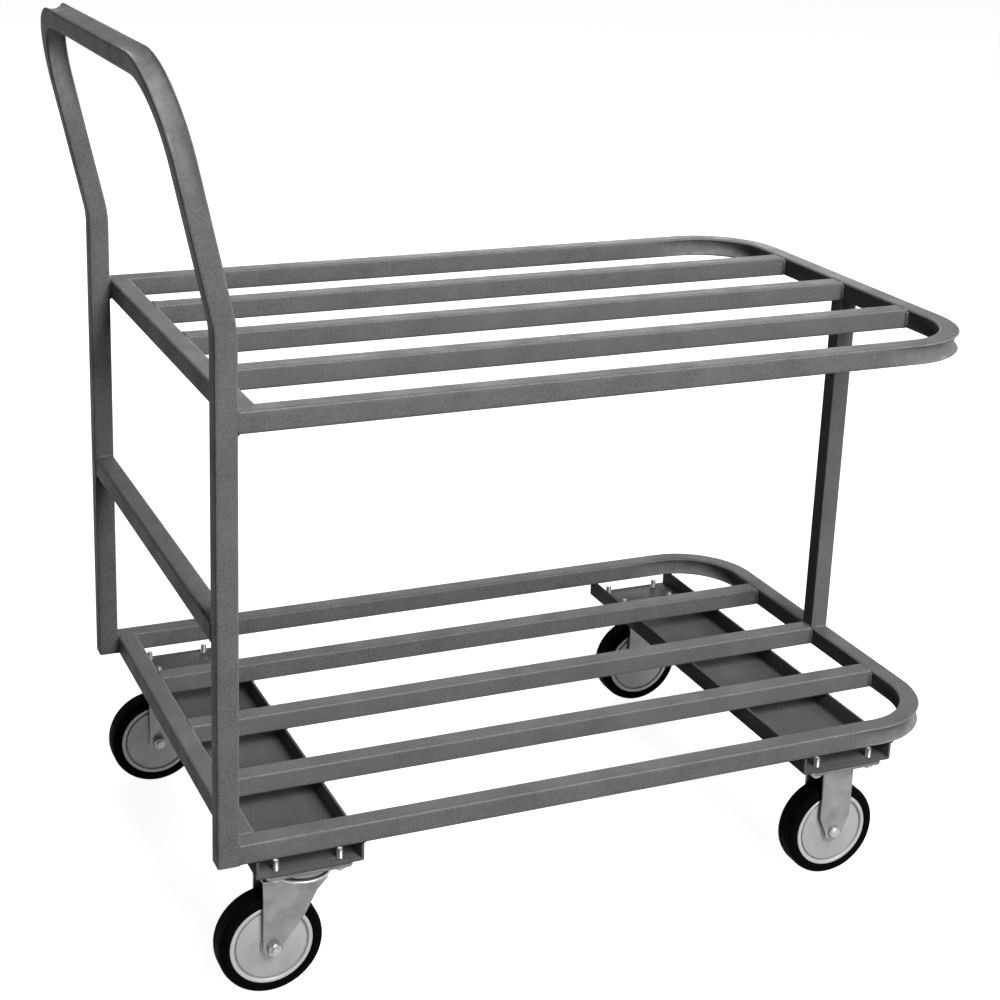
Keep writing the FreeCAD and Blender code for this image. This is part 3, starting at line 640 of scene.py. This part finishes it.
side_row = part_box("lower_rim")[1].y - half_side
tube_rows = [sum(corner.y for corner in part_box(f"lower_slat_{number}")) / 2
             for number in slats] + [side_row, -side_row]
welds = []
for end in ("rear", "nose"):
    trough_low, trough_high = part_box(f"{end}_channel")
    for flange in (trough_low.x, trough_high.x):
        for row in tube_rows:
            welds.append(set_down(bead, Vector((flange, row, trough_high.z)), (0, 1, 0)))
channel_welds = join_up(welds, "channel_welds")
# The channel stitches take the darker channel paint, a painted shade.
channel_welds.data.materials.append(channel_paint)
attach(channel_welds, "frame")
bpy.data.objects.remove(bead)

# Zinc: the caster pressings are dull plated sheet with soft cloudy patches and a
# painted highlight along their rounded edges; bolts, nuts and studs are the same plate on
# turned steel, smoother and brighter.
zinc_edge_highlight = (0.72, 0.72, 0.72, 1)
metal_share = 0.75


def zinc(name, dark, light, rough_low, rough_high, edge_highlight=0.0):
    """Zinc plate in cloudy patches from a dark to a light grey, with a painted highlight in
    broken patches on its rounded edges.
    """
    made, tree, shader, place = start_material(name)
    cloud = spread_range(tree, noise(tree, place, 45, 5), 0.3, 0.7, 0, 1)
    highlight_breakup = spread_range(tree, noise(tree, place, 210, 4), 0.38, 0.6, 0.35, 1)
    edges = arithmetic(tree, "MULTIPLY", highlight_breakup,
                       arithmetic(tree, "MULTIPLY", edge_mask(tree), edge_highlight))
    patches = blend_colours(tree, cloud, (dark, dark, dark, 1), (light, light, light, 1))
    tree.links.new(blend_colours(tree, edges, patches, zinc_edge_highlight),
                   shader.inputs["Base Color"])
    tree.links.new(spread_range(tree, cloud, 0, 1, rough_high, rough_low),
                   shader.inputs["Roughness"])
    shader.inputs["Metallic"].default_value = metal_share
    bumps(tree, shader, noise(tree, place, 260, 4), 0.3, 0.0002)
    return made


# The edge highlight share sets how strongly each zinc's rounded edges are painted bright.
zinc_sheet = zinc("zinc_sheet", 0.17, 0.25, 0.38, 0.52, edge_highlight=0.8)
zinc_darker = zinc("zinc_darker", 0.10, 0.17, 0.42, 0.55, edge_highlight=0.25)
zinc_bright = zinc("zinc_bright", 0.30, 0.44, 0.28, 0.42)

# Top plates: flat pressed steel plates, one over each caster, bolted up against the
# channels. They take a darker, rougher zinc than the forks below them, with a fainter
# painted edge highlight.
corners = ("rear_right", "rear_left", "nose_right", "nose_left")
plate_edge = 0.0006
for corner in corners:
    softened(f"{corner}_top_plate", f"{corner}_mounting_plate", plate_edge,
             zinc_darker, "frame")

# Forks: folded and pressed from plate, the swivel ones with a crown that turns under the
# race, the fixed ones straight-sided with rounded ends. Their tops are bent to a radius.
fork_edge = 0.0011
hole_reach = 0.012
cut_length = 0.01
level_slack = 1e-5
for corner in corners:
    swivels = corner.startswith("rear")
    rider = f"{corner}_swivel" if swivels else "frame"
    fork_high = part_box(f"{corner}_fork")[1]
    pin_low, pin_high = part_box(f"{corner}_kingpin" if swivels else f"{corner}_fork")
    pin = (pin_low + pin_high) / 2

    def at_fold(edge):
        """True for a top edge where the plate is bent down, not its hole or a cut end."""
        start, stop = (vert.co for vert in edge.verts)
        middle = (start + stop) / 2
        clear = math.hypot(middle.x - pin.x, middle.y - pin.y) > hole_reach
        top = min(start.z, stop.z) > fork_high.z - level_slack
        cut_end = abs(stop.x - start.x) < level_slack and abs(stop.y - start.y) > cut_length
        return top and clear and not cut_end and edge.calc_face_angle(0) > 1

    softened(f"{corner}_fork", f"{corner}_fork_pressing", fork_edge,
             zinc_sheet, rider, fold=at_fold)

# Races: pressed cups under the rear plates, with a ring of balls and the kingpin inside
# them. The cups stay with the frame while the forks turn under them.
cup_edge = 0.0012
for corner in ("rear_right", "rear_left"):
    softened(f"{corner}_race", f"{corner}_race_cup", cup_edge,
             zinc_sheet, "frame", segments=3)
    for part in ("balls", "kingpin"):
        nodes[f"{corner}_{part}"].material_slots[0].material = zinc_bright

# Plate bolts: zinc-plated threaded studs that stand up through plate and channel, held
# by a chamfered hexagon nut under the plate.
stud_low, stud_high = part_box("rear_right_plate_studs")
nut_low, nut_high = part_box("rear_right_plate_nuts")
stud_radius = 0.00395
pitch = 0.0014
core_depth = pitch * 0.45
thread_half = pitch * 0.48
thread_ends = 0.0012
stud_bevel = 0.0007
turn_between = 0.9
thread_smooth = math.radians(30)
nut_flats = 0.0127
nut_blank = 0.995
nut_chamfer = 1.05
nut_smooth = math.radians(20)
end_facing = 0.9


def only(piece):
    """Selects one piece alone and makes it the active one."""
    bpy.ops.object.select_all(action="DESELECT")
    piece.select_set(True)
    bpy.context.view_layer.objects.active = piece


def cut(piece, tool, operation):
    """Applies a boolean with another piece, which is used up."""
    only(piece)
    boolean = piece.modifiers.new("cut", "BOOLEAN")
    boolean.operation = operation
    boolean.object = tool
    boolean.solver = "EXACT"
    bpy.ops.object.modifier_apply(modifier=boolean.name)
    bpy.data.objects.remove(tool)


def threaded_rod(name, radius, length):
    """Rod that stands on the origin: a bevelled core with a V thread wound round it."""
    bpy.ops.object.select_all(action="DESELECT")
    bpy.ops.mesh.primitive_cylinder_add(vertices=24, radius=radius - core_depth,
                                        depth=length, location=(0, 0, length / 2))
    bpy.ops.object.transform_apply(location=True)
    core = new_piece(name)
    bpy.ops.object.mode_set(mode="EDIT")
    pick("faces", lambda face: abs(face.normal.z) > end_facing)
    bpy.ops.mesh.bevel(offset=stud_bevel, segments=1, affect="EDGES")
    bpy.ops.object.mode_set(mode="OBJECT")
    turns = int((length - thread_ends) / pitch)
    bpy.ops.object.select_all(action="DESELECT")
    thread_start = (radius - thread_half, 0, (length - turns * pitch) / 2)
    bpy.ops.mesh.primitive_circle_add(vertices=4, radius=thread_half, fill_type="NOTHING",
                                      rotation=(math.pi / 2, 0, 0), location=thread_start)
    bpy.ops.object.transform_apply(location=True, rotation=True)
    thread = new_piece(name + "_thread")
    winding = thread.modifiers.new("winding", "SCREW")
    winding.axis = "Z"
    winding.screw_offset = pitch
    winding.iterations = turns
    winding.steps = winding.render_steps = 18
    bpy.ops.object.modifier_apply(modifier=winding.name)
    bpy.ops.object.mode_set(mode="EDIT")
    bpy.ops.mesh.select_all(action="SELECT")
    bpy.ops.mesh.fill_holes(sides=4)
    bpy.ops.mesh.select_all(action="SELECT")
    bpy.ops.mesh.normals_make_consistent(inside=False)
    bpy.ops.object.mode_set(mode="OBJECT")
    rod = join_up([core, thread], name)
    bpy.ops.object.shade_smooth_by_angle(angle=thread_smooth)
    return rod


def hexagon_nut(name, flats, height, bore):
    """Nut that stands on the origin, its corners turned off at both faces."""
    corner_radius = flats / 2 / math.cos(math.pi / 6)
    bpy.ops.object.select_all(action="DESELECT")
    bpy.ops.mesh.primitive_cylinder_add(vertices=64, radius=corner_radius * nut_blank,
                                        depth=height, location=(0, 0, height / 2))
    turned_blank = new_piece(name + "_turned")
    bpy.ops.object.mode_set(mode="EDIT")
    pick("faces", lambda face: abs(face.normal.z) > end_facing)
    chamfer = (corner_radius - flats / 2) * nut_chamfer
    bpy.ops.mesh.bevel(offset=chamfer, segments=1, affect="EDGES")
    bpy.ops.object.mode_set(mode="OBJECT")
    bpy.ops.mesh.primitive_cylinder_add(vertices=40, radius=bore, depth=height * 3)
    bore_tool = bpy.context.object
    bpy.ops.mesh.primitive_cylinder_add(vertices=6, radius=corner_radius, depth=height,
                                        location=(0, 0, height / 2))
    bpy.ops.object.transform_apply(location=True)
    nut = new_piece(name)
    cut(nut, turned_blank, "INTERSECT")
    cut(nut, bore_tool, "DIFFERENCE")
    bpy.ops.object.shade_smooth_by_angle(angle=nut_smooth)
    return nut


stud = threaded_rod("stud", stud_radius, stud_high.z - stud_low.z)
nut = hexagon_nut("plate_nut", nut_flats, nut_high.z - nut_low.z, stud_radius)
for corner in corners:
    stud_low, stud_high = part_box(f"{corner}_plate_studs")
    nut_low, nut_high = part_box(f"{corner}_plate_nuts")
    rows = [(x, y) for x in (stud_low.x + stud_radius, stud_high.x - stud_radius)
            for y in (stud_low.y + stud_radius, stud_high.y - stud_radius)]
    for master, base, kind in ((stud, stud_low.z, "studs"), (nut, nut_low.z, "nuts")):
        copies = [set_down(master, Vector((x, y, base)), turn=turn_between * number)
                  for number, (x, y) in enumerate(rows)]
        made = join_up(copies, f"{corner}_threaded_{kind}")
        made.data.materials.append(zinc_bright)
        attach(made, "frame")
        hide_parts(f"{corner}_plate_{kind}")
for master in (stud, nut):
    bpy.data.objects.remove(master)

# Axles: plated bolts through both legs of a fork, a steel bush between the legs and a
# chamfered nut. On the right the nose bolts show a domed head, the rear ones their nuts.
axle_radius = 0.00475
bolt_edge = 0.0004
for corner in corners:
    rider = f"{corner}_swivel" if corner.startswith("rear") else "frame"
    softened(f"{corner}_axle_bolt", f"{corner}_axle_pin", bolt_edge,
             zinc_bright, rider)
    nut_low, nut_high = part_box(f"{corner}_axle_nut")
    axle_nut = hexagon_nut(f"{corner}_axle_hexagon", nut_high.z - nut_low.z,
                           nut_high.y - nut_low.y, axle_radius)
    middle = (nut_low + nut_high) / 2
    axle_nut.data.transform(Matrix.Translation((middle.x, nut_high.y, middle.z))
                            @ Matrix.Rotation(math.pi / 2, 4, "X"))
    axle_nut.data.materials.append(zinc_bright)
    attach(axle_nut, rider)
    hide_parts(f"{corner}_axle_nut")
    nodes[f"{corner}_bush"].material_slots[0].material = zinc_bright

# Wheels: a pressed disc with a raised rim ring and a groove inside it, in pale grey, and
# a solid black rubber tyre moulded round it. The raised ring is painted lighter, a painted
# highlight.
disc_dark = (0.29, 0.29, 0.29, 1)
disc_light = (0.36, 0.36, 0.36, 1)
ring_highlight = (0.46, 0.46, 0.46, 1)
ring_highlight_share = 0.6
rubber_dark = (0.0012, 0.0012, 0.0012, 1)
rubber_light = (0.0028, 0.0028, 0.0028, 1)
wheel_steps = 96
bush_seat = 0.00643
hub_radius = 0.0140
web_half = 0.0142
groove_half = 0.0112
ring_half = 0.0152
ring_width = 0.0051
disc_edge = 0.0004
tyre_edge = 0.0002
turned_sharp = math.radians(25)
turned_smooth = math.radians(40)
disc_grey, tree, shader, place = start_material("disc_grey")
disc_cloud = spread_range(tree, noise(tree, place, 38, 5), 0.3, 0.7, 0, 1)
ring = tree.nodes.new("ShaderNodeAttribute")
ring.attribute_name = wear_and_highlight_mark
disc_tone = blend_colours(tree, disc_cloud, disc_dark, disc_light)
tree.links.new(blend_colours(tree, ring.outputs["Fac"], disc_tone, ring_highlight),
               shader.inputs["Base Color"])
shader.inputs["Roughness"].default_value = 0.42
shader.inputs["Metallic"].default_value = 0.3
bumps(tree, shader, noise(tree, place, 500, 2), 0.15, 0.0002)

rubber, tree, shader, place = start_material("tyre_rubber")
scuff = spread_range(tree, noise(tree, place, 90, 5), 0.35, 0.75, 0, 1)
tree.links.new(blend_colours(tree, scuff, rubber_dark, rubber_light),
               shader.inputs["Base Color"])
shader.inputs["Specular IOR Level"].default_value = 0.01
tree.links.new(spread_range(tree, scuff, 0, 1, 0.5, 0.75), shader.inputs["Roughness"])
bumps(tree, shader, noise(tree, place, 800, 3), 0.3, 0.0002)


def turned(name, half, centre, rounding):
    """Ring turned about the Y line through centre. The half outline is pairs of radius
    and distance along the line, and the other half mirrors it."""
    bpy.ops.object.select_all(action="DESELECT")
    bpy.ops.mesh.primitive_plane_add(size=0.001)
    piece = new_piece(name)
    bpy.ops.object.mode_set(mode="EDIT")
    bpy.ops.mesh.select_mode(type="VERT")
    bpy.ops.mesh.select_all(action="SELECT")
    bpy.ops.mesh.merge(type="CENTER")
    outline = half + [(radius, -along) for radius, along in reversed(half)]
    spots = [Vector((centre.x + radius, centre.y + along, centre.z))
             for radius, along in outline]
    bpy.ops.transform.translate(value=spots[0])
    for before, after in zip(spots, spots[1:] + spots[:1]):
        bpy.ops.mesh.extrude_vertices_move(TRANSFORM_OT_translate={"value": after - before})
    bpy.ops.mesh.select_all(action="SELECT")
    bpy.ops.mesh.remove_doubles(threshold=same_spot)
    bpy.ops.mesh.select_all(action="SELECT")
    bpy.ops.mesh.spin(steps=wheel_steps, angle=2 * math.pi, center=centre, axis=(0, 1, 0))
    bpy.ops.mesh.select_all(action="SELECT")
    bpy.ops.mesh.remove_doubles(threshold=same_spot)
    bpy.ops.mesh.normals_make_consistent(inside=False)
    bpy.ops.object.mode_set(mode="OBJECT")
    soften_edges = piece.modifiers.new("rounding", "BEVEL")
    soften_edges.width = rounding
    soften_edges.segments = 2
    soften_edges.limit_method = "ANGLE"
    soften_edges.angle_limit = turned_sharp
    bpy.ops.object.modifier_apply(modifier=soften_edges.name)
    bpy.ops.object.shade_smooth_by_angle(angle=turned_smooth)
    return piece


for corner in corners:
    disc_low, disc_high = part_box(f"{corner}_wheel_disc")
    tyre_low, tyre_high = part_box(f"{corner}_tyre")
    centre = (disc_low + disc_high) / 2
    tread = (tyre_high.z - tyre_low.z) / 2
    seat = (disc_high.z - disc_low.z) / 2
    half_tyre = (tyre_high.y - tyre_low.y) / 2
    hub_half = (disc_high.y - disc_low.y) / 2

    # Disc, from the bush outwards: hub, web, groove, raised ring and the edge in the tyre.
    face = [(bush_seat, hub_half), (hub_radius, hub_half), (hub_radius, web_half),
            (seat - 0.0078, web_half), (seat - 0.0070, groove_half),
            (seat - 0.0056, groove_half), (seat - 0.0049, 0.0148),
            (seat - 0.0036, ring_half), (seat - 0.0008, ring_half), (seat, 0.0144)]
    disc = turned(f"{corner}_disc_wheel", face, centre, disc_edge)
    # The outer ring of the disc is marked for a painted highlight.
    marks = disc.data.attributes.new(wear_and_highlight_mark, "FLOAT", "POINT")
    for vert in disc.data.vertices:
        reach = math.hypot(vert.co.x - centre.x, vert.co.z - centre.z)
        marks.data[vert.index].value = ring_highlight_share if reach > seat - ring_width else 0.0
    disc.data.materials.append(disc_grey)
    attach(disc, f"{corner}_wheel")
    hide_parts(f"{corner}_wheel_disc")

    # Tyre, from the disc outwards: side wall, rounded shoulder and a grooved tread.
    wall = [(seat, 0.0144), (seat + 0.0006, ring_half), (seat + 0.0016, half_tyre),
            (tread - 0.0052, half_tyre), (tread - 0.0026, half_tyre - 0.0011),
            (tread - 0.0008, half_tyre - 0.0034), (tread, half_tyre - 0.0068),
            (tread, 0.0052), (tread - 0.0007, 0.0047), (tread - 0.0007, 0.0040),
            (tread, 0.0035)]
    tyre = turned(f"{corner}_rubber_tyre", wall, centre, tyre_edge)
    tyre.data.materials.append(rubber)
    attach(tyre, f"{corner}_wheel")
    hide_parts(f"{corner}_tyre")
